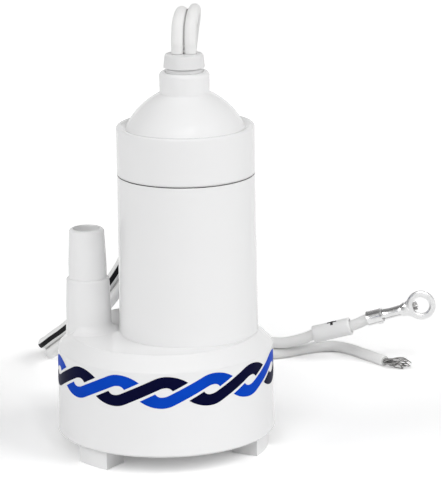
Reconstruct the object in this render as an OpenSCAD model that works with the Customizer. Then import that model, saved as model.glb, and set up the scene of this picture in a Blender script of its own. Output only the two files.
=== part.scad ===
// Submersible caravan water pump: a white moulded body with its motor, seals,
// impeller, intake plate, cap, cable gland and two-core flex.
// Millimetres. The origin is on the floor under the centre of the round base,
// +Z is up and the feet stand on z = 0.

/* [Base] */
// Outer diameter of the base at its bottom rim
base_d = 62; // [60:0.5:70]
// How much the base wall narrows in diameter up to the shoulder
base_draft = 0.8; // [0:0.1:1.6]
// Height of the base wall, from the rim to the shoulder
base_wall_h = 24.3; // [22:0.1:34]
// Size of the 45 degree shoulder
shoulder = 4; // [3:0.1:5]
// Thickness of the base wall round the pump chamber
chamber_wall = 2.6; // [2:0.1:3]
// Thickness of the base wall round the intake plate
rim_wall = 1.6; // [1.2:0.1:1.9]
// Thickness of the roof of the pump chamber
roof_t = 2.4; // [2:0.1:3.2]

/* [Housing] */
// Distance of the motor axis from the centre of the base
axis_x = 6.8; // [5.5:0.1:7]
// Diameter of the housing where it stands on the base
housing_d = 39.5; // [38.6:0.1:40]
// How much the housing narrows in diameter up to the cap
housing_draft = 0.7; // [0:0.1:1]
// Height of the housing above the base
housing_h = 45.6; // [45:0.1:54]
// Thickness of the housing's wall at its top
housing_wall = 1.6; // [1.4:0.05:2]
// Height of the housing floor above the top of the base
floor_rise = 2.2; // [1.6:0.1:4]
// Height of the lip that the cap fits over
lip_h = 3; // [2:0.1:4]
// Thickness of that lip
lip_t = 0.7; // [0.6:0.05:0.8]

/* [Hose spigot] */
// Distance of the spigot from the centre of the base, to the left
spigot_x = 21.7; // [21.5:0.1:22.2]
// Distance of the spigot from the centre of the base, to the back
spigot_y = 2; // [0:0.5:3]
// Diameter of the parallel land of the large hose seat
large_seat_d = 12.9; // [12.6:0.1:13.4]
// Diameter of the large hose seat at its upper end
large_tip_d = 12.2; // [11.8:0.1:12.5]
// Diameter of the parallel land of the small hose seat
small_seat_d = 10.9; // [10.6:0.1:11.2]
// Diameter of the small hose seat at its upper end
small_tip_d = 10; // [9.8:0.1:10.5]
// Length of each parallel land
land_h = 4; // [3:0.5:6]
// Height of the large hose seat above the base
large_seat_h = 15.3; // [13:0.1:20]
// Height of the small hose seat
small_seat_h = 14.2; // [12:0.1:20]
// Diameter of the water way through the spigot
outlet_d = 7.5; // [6.5:0.1:7.8]
// Radius of the fillet at the foot of the spigot
spigot_fillet = 2.4; // [1.5:0.1:3]
// Radius of the rounded lip at the top of the spigot
spigot_lip = 0.9; // [0.4:0.1:1]

/* [Intake plate] */
// Height of the feet below the base rim
foot_h = 5.7; // [4.2:0.1:8]
// Radial thickness of a foot
foot_t = 8; // [4:0.1:10]
// Angle that a foot spans
foot_span = 23; // [16:1:30]
// Number of feet
foot_count = 3; // [3:1:4]
// Direction of the first foot
foot_turn = -16.5; // [-30:0.5:30]
// How far the plate is set up from the base rim
plate_inset = 0.5; // [0:0.1:1]
// Thickness of the plate
plate_t = 2; // [1.6:0.1:3]
// Number of inlet slots
slot_count = 12; // [8:1:14]
// Width of an inlet slot
slot_w = 2; // [1.5:0.1:2.4]
// Inner radius of the ring of slots
slot_r_in = 4.6; // [4.4:0.1:5]
// Outer radius of the ring of slots
slot_r_out = 10; // [8:0.1:13]

/* [Cap and gland] */
// Height of the straight wall of the cap
cap_h = 13.8; // [13:0.1:18]
// Gap that shows between the housing and the cap
joint_gap = 0.25; // [0.05:0.05:0.4]
// How far the cap stands out from the housing's top edge
cap_step = 0.025; // [0:0.005:0.1]
// Thickness of the cap's walls
cap_wall = 1.6; // [1.4:0.05:1.7]
// Thickness of the cap's dome
dome_wall = 1.8; // [1.6:0.05:2]
// Rounding of the cap's upper edge
cap_edge = 0.6; // [0.3:0.1:0.8]
// Depth of the shallow trough between the cap's edge and the dome
trough_h = 0.6; // [0.3:0.1:0.8]
// Width of the ledge between the cap's wall and the dome
ledge_w = 2.6; // [2:0.1:4]
// Height of the dome above the cap's edge
dome_h = 9.3; // [8:0.1:12]
// Radius of the dome's curve
dome_curve = 21; // [17:0.5:30]
// Diameter of the neck
neck_d = 14.1; // [13.6:0.1:15]
// Height of the neck
neck_h = 6; // [5:0.1:9]
// Rounding of the neck's upper edge
neck_edge = 1.1; // [0.6:0.1:1.2]
// Length of the neck below the top of the dome
neck_depth = 6; // [5:0.1:7]
// Diameter of the gland's shank
shank_d = 10.4; // [10:0.1:10.8]
// Gap between the neck and the gland's collar
collar_gap = 1.2; // [0.8:0.1:2]
// Diameter of the gland's collar at its lower edge
collar_d = 11.6; // [11.2:0.1:12.4]
// Diameter of the collar near its top
collar_top_d = 10.9; // [10:0.1:11.1]
// Height of the collar
collar_h = 3.7; // [3.2:0.1:6]
// Rounding of the collar's top
collar_edge = 0.5; // [0.3:0.1:1]
// Height of the groove under the collar
collar_groove_h = 0.3; // [0.2:0.1:0.6]
// Depth of the groove under the collar
collar_groove_t = 0.5; // [0.2:0.1:0.8]
// Width of the notch between the cores in the collar's top
core_notch_w = 2; // [1:0.1:2.6]
// Depth of the notch between the cores
core_notch_h = 2; // [1:0.1:3]
// Thickness of the rubber seal under the gland
gland_seal_t = 2.2; // [1.8:0.1:3]
// Thickness of the seal ring under the cap
cap_seal_t = 0.8; // [0.6:0.1:1]

/* [Motor] */
// Radial play of the motor can in the housing
can_play = 0.3; // [0.1:0.05:0.5]
// How far the motor can stands above the housing's top edge
can_proud = 2.6; // [2:0.1:3]
// Wall of the motor can
can_wall = 1.2; // [1:0.1:1.4]
// Diameter of the boss on the front of the can
boss_d = 13; // [12:0.1:14]
// Length of that boss
boss_h = 4; // [3:0.1:4]
// Thickness of the rubber cushion under the motor
cushion_t = 1; // [0.8:0.1:1.5]
// Diameter of the motor shaft
shaft_d = 3.175; // [3:0.005:3.4]
// Radial running clearance of the shaft
shaft_clear = 0.03; // [0.02:0.01:0.08]
// Outer diameter of the front bush
front_bush_d = 9; // [8:0.1:10]
// Length of the front bush
front_bush_h = 6; // [5:0.1:7]
// Outer diameter of the rear bush
rear_bush_d = 7; // [6.5:0.1:8]
// Thickness of the end bell's flange
bell_t = 2.5; // [2:0.1:3]
// Depth of the end bell's skirt inside the can
bell_skirt_h = 3.5; // [3:0.1:4]
// Height of the boss on the end bell
bell_boss_h = 4; // [3:0.1:5]
// Thickness of a magnet
magnet_t = 3.2; // [2.8:0.1:3.4]
// Length of a magnet
magnet_h = 30; // [26:0.5:31]
// Angle that a magnet spans
magnet_span = 140; // [130:1:144]
// Air gap between the magnets and the armature
air_gap = 0.5; // [0.4:0.1:0.8]
// Length of the armature core
core_h = 22; // [18:0.5:24]
// Number of armature poles
pole_count = 5; // [3:2:5]
// Radius of a winding slot
core_slot_r = 2.8; // [2.4:0.1:3]
// Height of the winding heads above and below the core
head_h = 3; // [2:0.1:3.4]
// Diameter of the commutator
commutator_d = 11.2; // [10:0.1:12]
// Length of the commutator's copper segments
segment_h = 5; // [4:0.1:5.2]
// Thickness of the copper segments
segment_t = 1; // [0.8:0.1:1.2]
// Gap between neighbouring segments
segment_gap = 0.7; // [0.5:0.1:1]
// Width of a carbon brush
brush_w = 3.4; // [3:0.1:4]
// Height of a carbon brush
brush_h = 3; // [2.6:0.1:3.6]
// Radial length of a carbon brush
brush_l = 4; // [3:0.1:5]
// Thickness of the brush arms and terminals
strip_t = 0.6; // [0.5:0.1:0.8]
// Width of the brush arms and terminals
strip_w = 4.8; // [4:0.1:5.5]
// Height of the terminals above the end bell
terminal_h = 4; // [3:0.1:5]

/* [Impeller and shaft seal] */
// Diameter of the impeller
impeller_d = 37; // [32:0.5:38]
// Number of blades
blade_count = 6; // [5:1:8]
// Thickness of a blade
blade_t = 1.5; // [1.2:0.1:2]
// Radius of a blade's curve
blade_bend = 11.5; // [10.5:0.1:13]
// Height of the blades
blade_h = 8.5; // [7:0.1:9]
// Thickness of the impeller's disc
disc_t = 1.6; // [1.2:0.1:2.4]
// Diameter of the impeller's hub
hub_d = 8.4; // [8:0.1:8.8]
// Gap between the blades and the intake plate
blade_gap = 1.5; // [1:0.1:2.5]
// Gap between the impeller's disc and the seal boss
disc_gap = 0.7; // [0.4:0.1:1.5]
// Outer diameter of the brass insert in the hub
insert_d = 5.2; // [4.6:0.1:5.6]
// Outer diameter of the shaft seal
seal_d = 12.4; // [11.4:0.1:13]
// Height of the shaft seal
seal_h = 4.2; // [3.6:0.1:5]
// Thickness of the seal's retaining washer
retainer_t = 0.6; // [0.5:0.1:0.8]

/* [Flex] */
// Diameter of one core of the flex
core_d = 3.4; // [3:0.1:3.4]
// Distance between the centres of the two cores
core_pitch = 3.7; // [3.7:0.05:3.8]
// Outer diameter of the polarity sleeve
sleeve_d = 5.5; // [5:0.1:5.5]
// Wall of the polarity sleeve
sleeve_wall = 0.75; // [0.5:0.05:0.75]
// Outer diameter of the ring terminal
ring_d = 9.2; // [8.6:0.1:9.4]
// Diameter of the hole in the ring
ring_hole_d = 5.2; // [4.2:0.1:5.4]
// Thickness of the ring terminal's sheet
ring_t = 0.8; // [0.6:0.1:1]
// Length of the crimp round the insulation
wire_crimp_h = 5.2; // [4:0.1:6]
// Length of the crimp round the strands
strand_crimp_h = 5.4; // [4:0.1:6.5]
// Length of the bare strands
bare_h = 12; // [8:0.5:14]
// Diameter of one bare strand
strand_d = 0.8; // [0.6:0.05:0.9]

/* [Hidden] */
$fn = 72;
// Clearance of pieces that are pressed on the shaft
press_gap = 0.02;
// Clearance of pieces that are pushed together and stay there
seat_gap = 0.05;
// Clearance of the gland and the wires in it
gland_gap = 0.1;
// Clearance of pieces that drop in loosely
loose_gap = 0.15;
// Room left round an end that touches nothing
free_gap = 0.3;
// Overshoot of a cut past the surface it opens
cut = 1;
// Small bevel on moulded and turned edges
bevel = 0.4;

// Levels from the floor up
rim_z = foot_h;
plate_z = rim_z + plate_inset;
plate_top_z = plate_z + plate_t;
wall_top_z = rim_z + base_wall_h;
flat_z = wall_top_z + shoulder;
roof_z = flat_z - roof_t;
floor_z = flat_z + floor_rise;
housing_top_z = flat_z + housing_h;
cap_top_z = housing_top_z + cap_h;
trough_z = cap_top_z - trough_h;
dome_top_z = cap_top_z + dome_h;
neck_top_z = dome_top_z + neck_h;
neck_floor_z = dome_top_z - neck_depth;
collar_z = neck_top_z + collar_gap;
gland_top_z = collar_z + collar_h;
land_z = flat_z + spigot_fillet;
step_z = flat_z + large_seat_h;
spigot_top_z = step_z + small_seat_h;

// Radii of the base
base_r = base_d / 2;
base_top_r = base_r - base_draft / 2;
flat_r = base_top_r - shoulder;
chamber_r = base_r - chamber_wall;
chamber_top_r = base_top_r - chamber_wall;
recess_r = base_r - rim_wall;
plate_r = recess_r - loose_gap;
foot_r = plate_r - free_gap;
// Radii of the housing
housing_top_r = housing_d / 2 - housing_draft / 2;
housing_bore_r = housing_top_r - housing_wall;
// The spigot's foot has a little draft below the large hose seat
foot_draft = 0.4;
spigot_foot_r = large_seat_d / 2 + foot_draft;

// Motor levels and radii
can_r = housing_bore_r - can_play;
can_bore_r = can_r - can_wall;
can_z = floor_z + cushion_t;
can_top_z = housing_top_z + can_proud;
can_h = can_top_z - can_z;
boss_z = can_z - boss_h;
bell_top_z = can_top_z + bell_t;
bell_boss_z = bell_top_z + bell_boss_h;
shaft_r = shaft_d / 2;
bush_bore_r = shaft_r + shaft_clear;
front_bush_z = boss_z + free_gap;
front_bush_top_z = front_bush_z + front_bush_h;
bell_floor = 0.8;
rear_bush_z = can_top_z + bell_floor;
rear_bush_top_z = bell_boss_z - free_gap;
magnet_r = can_bore_r - seat_gap;
magnet_bore_r = magnet_r - magnet_t;
magnet_z = can_z + (can_h - bell_skirt_h - magnet_h) / 2;
armature_r = magnet_bore_r - air_gap;
core_z = magnet_z + (magnet_h - core_h) / 2;
core_top_z = core_z + core_h;
pole_tip_t = 1.4;
core_slot_place = armature_r - core_slot_r - pole_tip_t;
winding_r = core_slot_r - free_gap;
head_gap = 0.2;
head_top_z = core_top_z + head_gap + head_h;
commutator_r = commutator_d / 2;
commutator_hub_r = commutator_r - segment_t;
commutator_rim = 0.4;
segment_z = head_top_z + free_gap + commutator_rim;
segment_top_z = segment_z + segment_h;
brush_z = segment_z + (segment_h - brush_h) / 2;
brush_clear = 0.06;
brush_r = commutator_r + brush_clear;
arm_r = brush_r + brush_l + seat_gap;
washer_d = 6;
washer_t = 0.5;
washer_gap = 0.15;
rear_washer_z = can_top_z - washer_gap - washer_t;
clip_t = 1;
bell_wall = 1.6;
bell_hole_r = shaft_r + 0.6;

// Pump levels and radii
impeller_r = impeller_d / 2;
hub_r = hub_d / 2;
blade_z = plate_top_z + blade_gap;
disc_z = blade_z + blade_h;
disc_top_z = disc_z + disc_t;
seal_boss_z = disc_top_z + disc_gap;
seal_r = seal_d / 2;
seal_pocket_r = seal_r + seat_gap;
seal_boss_wall = 2.4;
seal_boss_r = seal_pocket_r + seal_boss_wall;
seal_z = seal_boss_z + retainer_t + seat_gap;
seal_top_z = seal_z + seal_h;
boss_hole_r = boss_d / 2 + loose_gap;
hub_hole_r = insert_d / 2 + seat_gap;
hub_nose = 1.4;
hub_z = blade_z - bevel;
shaft_z = hub_z + hub_nose;
shaft_hole_r = shaft_r + 0.8;
seal_lip_t = 1.1;

// Cap radii
cap_r = housing_top_r + cap_step;
cap_bore_r = housing_bore_r;
lip_r = cap_bore_r + lip_t;
lip_top_z = housing_top_z + lip_h;
dome_r = cap_r - ledge_w;
neck_r = neck_d / 2;
shank_r = shank_d / 2;
neck_bore_r = shank_r + gland_gap;
gland_shelf = 0.8;
neck_hole_r = shank_r - gland_shelf;
// Centre of the dome's curve, which passes its foot and the foot of the neck
dome_chord = [neck_r - dome_r, dome_top_z - trough_z];
dome_drop = sqrt(pow(dome_curve, 2) - pow(norm(dome_chord) / 2, 2));
dome_centre = [dome_r, trough_z] + dome_chord / 2
    - dome_drop * [dome_chord[1], -dome_chord[0]] / norm(dome_chord);

// Flex: each row is a point on the centre line and the way from the negative
// to the positive core there. The first and last three points are in line.
core_r = core_d / 2;
half_pitch = core_pitch / 2;
lie_z = 3.6;
split = [29, 82.7, lie_z];
lead_route = [
    [[axis_x, 0, gland_top_z], [-1, 0, 0]],
    [[axis_x, 0, gland_top_z + 1.75], [-1, 0, 0]],
    [[axis_x, 0, gland_top_z + 3.5], [-1, 0, 0]],
    [[7, 1.2, 121.1], [-1, 0, -0.06]],
    [[7.6, 3.8, 123.7], [-1, 0, -0.13]],
    [[8.1, 7.3, 124.4], [-1, 0, -0.17]],
    [[8.2, 10.8, 123.4], [-1, 0, -0.17]],
    [[8, 13.6, 120.9], [-1, 0, -0.13]],
    [[7.4, 16, 116.7], [-1, 0, -0.06]],
    [[6.4, 19, 108.7], [-1, 0, 0]],
    [[4.6, 22.5, 98.2], [-1, 0, 0.1]],
    [[1.8, 26.5, 84.6], [-1, 0, 0.2]],
    [[-2.2, 31, 68.6], [-1, 0, 0.3]],
    [[-6.8, 36.5, 53.2], [-0.9, 0, 0.45]],
    [[-12.6, 43, 40], [-0.8, 0.05, 0.6]],
    [[-19.1, 51.4, 29.2], [-0.7, 0.1, 0.7]],
    [[-25.2, 61, 20.6], [-0.6, 0.15, 0.77]],
    [[-31, 70.5, 13.3], [-0.58, 0.17, 0.79]],
    [[-35.2, 77.1, 8.7], [-0.58, 0.17, 0.79]],
    [[-37.9, 81.3, 5.6], [-0.58, 0.17, 0.79]],
    [[-39, 85, 4], [-0.55, 0.17, 0.8]],
    [[-38.5, 88.2, 3.6], [-0.4, 0.1, 0.9]],
    [[-36.6, 91.2, lie_z], [-0.2, 0, 1]],
    [[-33.5, 93.2, lie_z], [0, 0, 1]],
    [[-28.5, 93.7, lie_z], [0, 0, 1]],
    [[-18.5, 91.7, lie_z], [0, 0, 1]],
    [[-6.1, 88.1, lie_z], [0, 0, 1]],
    [[6, 84.9, lie_z], [0, 0, 1]],
    [[16, 83, lie_z], [0, 0, 1]],
    [[split[0] - 6, split[1], lie_z], [0, 0, 1]],
    [[split[0] - 3, split[1], lie_z], [0, 0, 1]],
    [split, [0, 0, 1]],
];
// The positive core rises to its ring, and the negative one lies on the floor
positive_route = [
    split + [0, 0, half_pitch],
    split + [1.25, 0, half_pitch],
    split + [2.5, 0, half_pitch],
    [35.9, 81.9, 5.5],
    [40.4, 80.9, 6.7],
    [42.6, 80.5, 7.5],
    [44.9, 80.05, 8.5],
    [50.65, 78.9, 10.15],
    [56.4, 77.75, 11.8],
    [59.4, 77.15, 13.1],
];
negative_route = [
    split - [0, 0, half_pitch],
    split + [1.5, 0, -half_pitch],
    split + [3, 0, -half_pitch],
    [36.1, 83.9, 1.75],
    [41.1, 86.8, 1.75],
    [46.1, 89.3, 1.75],
    [51.2, 89.9, 1.75],
    [55.8, 87.1, 1.75],
    [60.7, 80.9, 1.75],
    [63.7, 76.8, 1.75],
    [66.7, 72.7, 1.75],
];
ring_centre = [77.9, 73.6, 19.3];
ring_turn = 168.9;
ring_tilt = 16.7;
ring_neck = 6.7;
// Way from the ring to the wire, and where the wire stops inside the crimp
ring_way = [cos(ring_tilt) * cos(ring_turn), cos(ring_tilt) * sin(ring_turn), -sin(ring_tilt)];
wire_stop = ring_neck + strand_crimp_h;
sleeve_from = positive_route[6];
sleeve_to = positive_route[8];
ring_steps = 2;

// Moves its children from the middle of the base to the motor axis
module on_axis() {
    translate([axis_x, 0, 0]) children();
}

// A ring with square edges on the motor axis
module axis_ring(r_in, r_out, z_from, z_to) {
    on_axis() translate([0, 0, z_from]) difference() {
        cylinder(r = r_out, h = z_to - z_from);
        translate([0, 0, -cut]) cylinder(r = r_in, h = z_to - z_from + 2 * cut);
    }
}

// An arc of a ring on the motor axis
module axis_arc(r_in, r_out, z_from, z_to, from, span) {
    on_axis() rotate(from) rotate_extrude(angle = span)
        translate([r_in, z_from]) square([r_out - r_in, z_to - z_from]);
}

// Tube functions: a smooth curve through points, and a closed skin round it
function unit(v) = v / norm(v);
function between(a, b, c, d, t) = 0.5 * (2 * b + (c - a) * t + (2 * a - 5 * b + 4 * c - d) * t * t
    + (3 * b - a - 3 * c + d) * t * t * t);
function smooth(p, k) = let (n = len(p) - 1) concat(
    [for (i = [0 : n - 1], j = [0 : k - 1])
        between(p[max(i - 1, 0)], p[i], p[i + 1], p[min(i + 2, n)], j / k)],
    [p[n]]);
function way(p, i) = unit(p[min(i + 1, len(p) - 1)] - p[max(i - 1, 0)]);
function across(p, s, i) = let (t = way(p, i)) unit(s[i] - t * (s[i] * t));

module skin(p, s, outline) {
    n = len(outline);
    last = len(p) - 1;
    points = [for (i = [0 : last]) let (a = across(p, s, i), b = cross(way(p, i), a))
        for (q = outline) p[i] + a * q[0] + b * q[1]];
    sides = [for (i = [0 : last - 1], j = [0 : n - 1]) let (k = (j + 1) % n)
        each [[i * n + j, (i + 1) * n + k, i * n + k], [i * n + j, (i + 1) * n + j, (i + 1) * n + k]]];
    caps = [[for (j = [0 : n - 1]) j], [for (j = [n - 1 : -1 : 0]) last * n + j]];
    polyhedron(points = points, faces = concat(sides, caps));
}

// A round tube of 8 sides along a route
module round_tube(route, r) {
    p = smooth(route, ring_steps);
    outline = [for (a = [22.5 : 45 : 359]) r * [cos(a), sin(a)]];
    skin(p, [for (i = p) [0.1, -0.2, 1]], outline);
}

// The least distance between two routes, past the points where they part
function least_gap(p, q) = min([for (a = p, b = q) norm(a - b)]);

// Base and housing
module base_outside() {
    rotate_extrude() polygon([[0, rim_z], [base_r - bevel, rim_z], [base_r, rim_z + bevel],
        [base_top_r, wall_top_z], [flat_r, flat_z], [0, flat_z]]);
}

module chamber() {
    translate([0, 0, rim_z - cut]) cylinder(r = recess_r, h = plate_top_z - rim_z + cut);
    rotate_extrude() polygon([[0, plate_z], [chamber_r, plate_z],
        [chamber_top_r, wall_top_z - chamber_wall / 2],
        [chamber_top_r - shoulder + roof_t, roof_z], [0, roof_z]]);
}

module housing_outside() {
    on_axis() rotate_extrude() polygon([[0, wall_top_z], [housing_d / 2, wall_top_z],
        [housing_d / 2, flat_z], [housing_top_r, housing_top_z], [lip_r, housing_top_z],
        [lip_r, lip_top_z], [0, lip_top_z]]);
}

module seal_boss() {
    on_axis() translate([0, 0, seal_boss_z])
        cylinder(r = seal_boss_r, h = roof_z - seal_boss_z + roof_t / 2);
}

module motor_space() {
    on_axis() {
        translate([0, 0, floor_z]) cylinder(r = housing_bore_r, h = lip_top_z - floor_z + cut);
        translate([0, 0, boss_z - free_gap]) cylinder(r = boss_hole_r, h = floor_z - boss_z + cut);
        translate([0, 0, seal_boss_z - cut]) cylinder(r = shaft_hole_r, h = boss_z - seal_boss_z + cut);
        translate([0, 0, seal_boss_z - cut])
            cylinder(r = seal_pocket_r, h = seal_top_z - seal_boss_z + cut);
    }
}

// Spigot: two stepped hose seats, each with a parallel land at its foot
module spigot_profile() {
    large_r = large_seat_d / 2;
    small_r = small_seat_d / 2;
    tip_r = small_tip_d / 2;
    polygon([[0, wall_top_z], [spigot_foot_r, wall_top_z], [large_r, land_z], [large_r, land_z + land_h],
        [large_tip_d / 2, step_z - bevel], [large_tip_d / 2 - bevel, step_z], [small_r, step_z],
        [small_r, step_z + land_h], [tip_r, spigot_top_z - spigot_lip],
        [tip_r - spigot_lip, spigot_top_z - spigot_lip], [tip_r - spigot_lip, spigot_top_z],
        [0, spigot_top_z]]);
    translate([tip_r - spigot_lip, spigot_top_z - spigot_lip]) circle(r = spigot_lip);
}

module spigot_foot() {
    flare_r = large_seat_d / 2 + spigot_fillet;
    intersection() {
        translate([-spigot_x, spigot_y, 0]) rotate_extrude() difference() {
            translate([0, wall_top_z]) square([flare_r, land_z - wall_top_z]);
            translate([flare_r, land_z]) circle(r = spigot_fillet);
        }
        translate([0, 0, wall_top_z])
            cylinder(r1 = base_top_r, r2 = base_top_r - 2 * shoulder, h = 2 * shoulder);
    }
}

module pump_body() {
    color("whitesmoke") difference() {
        union() {
            difference() {
                union() {
                    base_outside();
                    housing_outside();
                    translate([-spigot_x, spigot_y, 0]) rotate_extrude() spigot_profile();
                    spigot_foot();
                }
                chamber();
            }
            seal_boss();
        }
        motor_space();
        translate([-spigot_x, spigot_y, roof_z - cut])
            cylinder(d = outlet_d, h = spigot_top_z - roof_z + 2 * cut);
    }
}

// Plate that closes the chamber, with its feet and the ring of inlet slots
module intake_plate() {
    slot_l = slot_r_out - slot_r_in;
    color("gainsboro") difference() {
        union() {
            translate([0, 0, plate_z]) cylinder(r = plate_r, h = plate_t - seat_gap);
            for (i = [0 : foot_count - 1]) rotate(foot_turn + i * 360 / foot_count - foot_span / 2)
                rotate_extrude(angle = foot_span) translate([foot_r - foot_t, 0])
                    square([foot_t, plate_z + plate_t / 2]);
        }
        on_axis() for (i = [0 : slot_count - 1]) rotate((i + 0.5) * 360 / slot_count)
            translate([slot_r_in, -slot_w / 2, plate_z - cut]) cube([slot_l, slot_w, plate_t + 2 * cut]);
    }
}

// Cap with its ledge, dome and neck
module dome_disc(thin) {
    intersection() {
        translate(dome_centre) circle(r = dome_curve - thin);
        translate([0, trough_z - thin - cut]) square([dome_r - thin, dome_top_z - trough_z + thin + cut]);
    }
}

module cap_outside() {
    polygon([[0, housing_top_z], [cap_r, housing_top_z], [cap_r, cap_top_z - cap_edge],
        [cap_r - cap_edge, cap_top_z - cap_edge], [cap_r - cap_edge, cap_top_z],
        [cap_r - 2 * cap_edge, cap_top_z], [dome_r, trough_z], [0, trough_z]]);
    translate([cap_r - cap_edge, cap_top_z - cap_edge]) circle(r = cap_edge);
    dome_disc(0);
    translate([0, trough_z]) square([neck_r, neck_top_z - neck_edge - trough_z]);
    translate([0, trough_z]) square([neck_r - neck_edge, neck_top_z - trough_z]);
    translate([neck_r - neck_edge, neck_top_z - neck_edge]) circle(r = neck_edge);
}

module cap_inside() {
    ledge_z = trough_z - dome_wall;
    difference() {
        union() {
            translate([0, housing_top_z - cut]) square([cap_bore_r, ledge_z - housing_top_z + cut]);
            dome_disc(dome_wall);
        }
        translate([0, neck_floor_z - cap_wall]) square([neck_r, neck_top_z - neck_floor_z + cap_wall]);
    }
    translate([0, housing_top_z - cut])
        square([lip_r + seat_gap, lip_h + cap_seal_t + 2 * seat_gap + cut]);
    translate([0, neck_floor_z]) square([neck_bore_r, neck_top_z - neck_floor_z + cut]);
    translate([0, neck_floor_z - cap_wall - cut]) square([neck_hole_r, cap_wall + 2 * cut]);
}

module top_cap() {
    color("whitesmoke") on_axis() rotate_extrude() intersection() {
        difference() {
            cap_outside();
            cap_inside();
        }
        translate([0, housing_top_z + joint_gap]) square([cap_r + cut, neck_top_z]);
    }
}

module cap_seal() {
    seal_z = lip_top_z + seat_gap;
    color("dimgray") axis_ring(cap_bore_r + seat_gap, lip_r - seat_gap, seal_z, seal_z + cap_seal_t);
}

// Gland: plug with a tapered collar, and a passage for each core
module core_passages(r, z_from, z_to) {
    for (side = [-1, 1]) translate([side * half_pitch, 0, z_from]) cylinder(r = r, h = z_to - z_from);
}

module cable_gland() {
    shank_z = neck_floor_z + gland_seal_t + 2 * seat_gap;
    top_r = collar_top_d / 2;
    groove_r = shank_r - collar_groove_t;
    color("gainsboro") on_axis() difference() {
        rotate_extrude() {
            polygon([[0, shank_z], [shank_r, shank_z], [shank_r, collar_z - collar_groove_h],
                [groove_r, collar_z - collar_groove_h], [groove_r, collar_z], [collar_d / 2, collar_z],
                [collar_d / 2, collar_z + bevel], [top_r, gland_top_z - collar_edge],
                [top_r - collar_edge, gland_top_z - collar_edge], [top_r - collar_edge, gland_top_z],
                [0, gland_top_z]]);
            translate([top_r - collar_edge, gland_top_z - collar_edge]) circle(r = collar_edge);
        }
        core_passages(core_r + gland_gap, shank_z - cut, gland_top_z + cut);
        translate([-half_pitch, -core_notch_w / 2, gland_top_z - core_notch_h])
            cube([core_pitch, core_notch_w, core_notch_h + cut]);
    }
}

module gland_seal() {
    seal_z = neck_floor_z + seat_gap;
    color("dimgray") on_axis() difference() {
        translate([0, 0, seal_z]) cylinder(r = shank_r, h = gland_seal_t);
        core_passages(core_r + seat_gap, seal_z - cut, seal_z + gland_seal_t + cut);
    }
}

// Motor
module motor_cushion() {
    color("dimgray") axis_ring(boss_hole_r, can_r, floor_z + seat_gap, can_z - seat_gap);
}

module motor_can() {
    bush_r = front_bush_d / 2 + seat_gap;
    color("silver") on_axis() rotate_extrude() polygon([[bush_r, boss_z], [boss_d / 2, boss_z],
        [boss_d / 2, can_z], [can_r, can_z], [can_r, can_top_z], [can_bore_r, can_top_z],
        [can_bore_r, can_z + can_wall], [bush_r, can_z + can_wall]]);
}

module magnets() {
    color("darkslategray") for (side = [0, 180])
        axis_arc(magnet_bore_r, magnet_r, magnet_z, magnet_z + magnet_h,
            side - magnet_span / 2, magnet_span);
}

module magnet_clips() {
    play = 0.5;
    span = 180 - magnet_span - play * 360 / (PI * magnet_r);
    color("lightsteelblue") for (side = [90, 270])
        axis_arc(magnet_r - clip_t, magnet_r, magnet_z, magnet_z + magnet_h, side - span / 2, span);
}

module front_bush() {
    color("peru") axis_ring(bush_bore_r, front_bush_d / 2, front_bush_z, front_bush_top_z);
}

// Slots for the two terminals, one on each side of the axis
module terminal_strip(grow, z_from, z_to) {
    for (side = [90, 270]) on_axis() rotate(side)
        translate([arm_r - grow, -strip_w / 2 - grow, z_from])
            cube([strip_t + 2 * grow, strip_w + 2 * grow, z_to - z_from]);
}

module end_bell() {
    skirt_r = can_bore_r - seat_gap;
    flange_r = can_r - free_gap;
    flange_z = can_top_z + seat_gap;
    bush_r = rear_bush_d / 2 + seat_gap;
    color("black") difference() {
        on_axis() rotate_extrude() polygon([[bell_hole_r, flange_z],
            [skirt_r - bell_wall, flange_z], [skirt_r - bell_wall, can_top_z - bell_skirt_h],
            [skirt_r, can_top_z - bell_skirt_h], [skirt_r, flange_z],
            [flange_r, flange_z], [flange_r, bell_top_z], [bush_r + bell_wall, bell_top_z],
            [bush_r + bell_wall, bell_boss_z], [bush_r, bell_boss_z], [bush_r, rear_bush_z - seat_gap],
            [bell_hole_r, rear_bush_z - seat_gap]]);
        terminal_strip(seat_gap, can_top_z - bell_skirt_h - cut, bell_top_z + cut);
    }
}

module rear_bush() {
    color("peru") axis_ring(bush_bore_r, rear_bush_d / 2, rear_bush_z, rear_bush_top_z);
}

module brush_arms() {
    color("goldenrod") terminal_strip(0, brush_z, can_top_z);
}

module carbon_brushes() {
    color("dimgray") for (side = [90, 270]) on_axis() rotate(side) difference() {
        translate([0, -brush_w / 2, brush_z]) cube([brush_r + brush_l, brush_w, brush_h]);
        translate([0, 0, brush_z - cut]) cylinder(r = brush_r, h = brush_h + 2 * cut);
    }
}

module motor_terminals() {
    color("gold") terminal_strip(0, can_top_z, bell_top_z + terminal_h);
}

// Leads from the terminals up through the gland
module inner_leads() {
    top = bell_top_z + terminal_h + seat_gap;
    rise = gland_top_z - top;
    reach = arm_r + strip_t / 2;
    color("white") for (side = [-1, 1]) round_tube([
        [axis_x, side * reach, top], [axis_x, side * reach, top + 0.7], [axis_x, side * reach, top + 1.4],
        [axis_x - side * half_pitch / 4, side * (reach - 1), top + 2.8],
        [axis_x - side * half_pitch / 2, side * reach / 2, neck_floor_z - cap_wall - 3],
        [axis_x - side * half_pitch, side * 1.2, neck_floor_z - cap_wall - 0.6],
        [axis_x - side * half_pitch, 0, neck_floor_z],
        [axis_x - side * half_pitch, 0, gland_top_z - rise / 4],
        [axis_x - side * half_pitch, 0, gland_top_z]], core_r - gland_gap);
}

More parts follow.
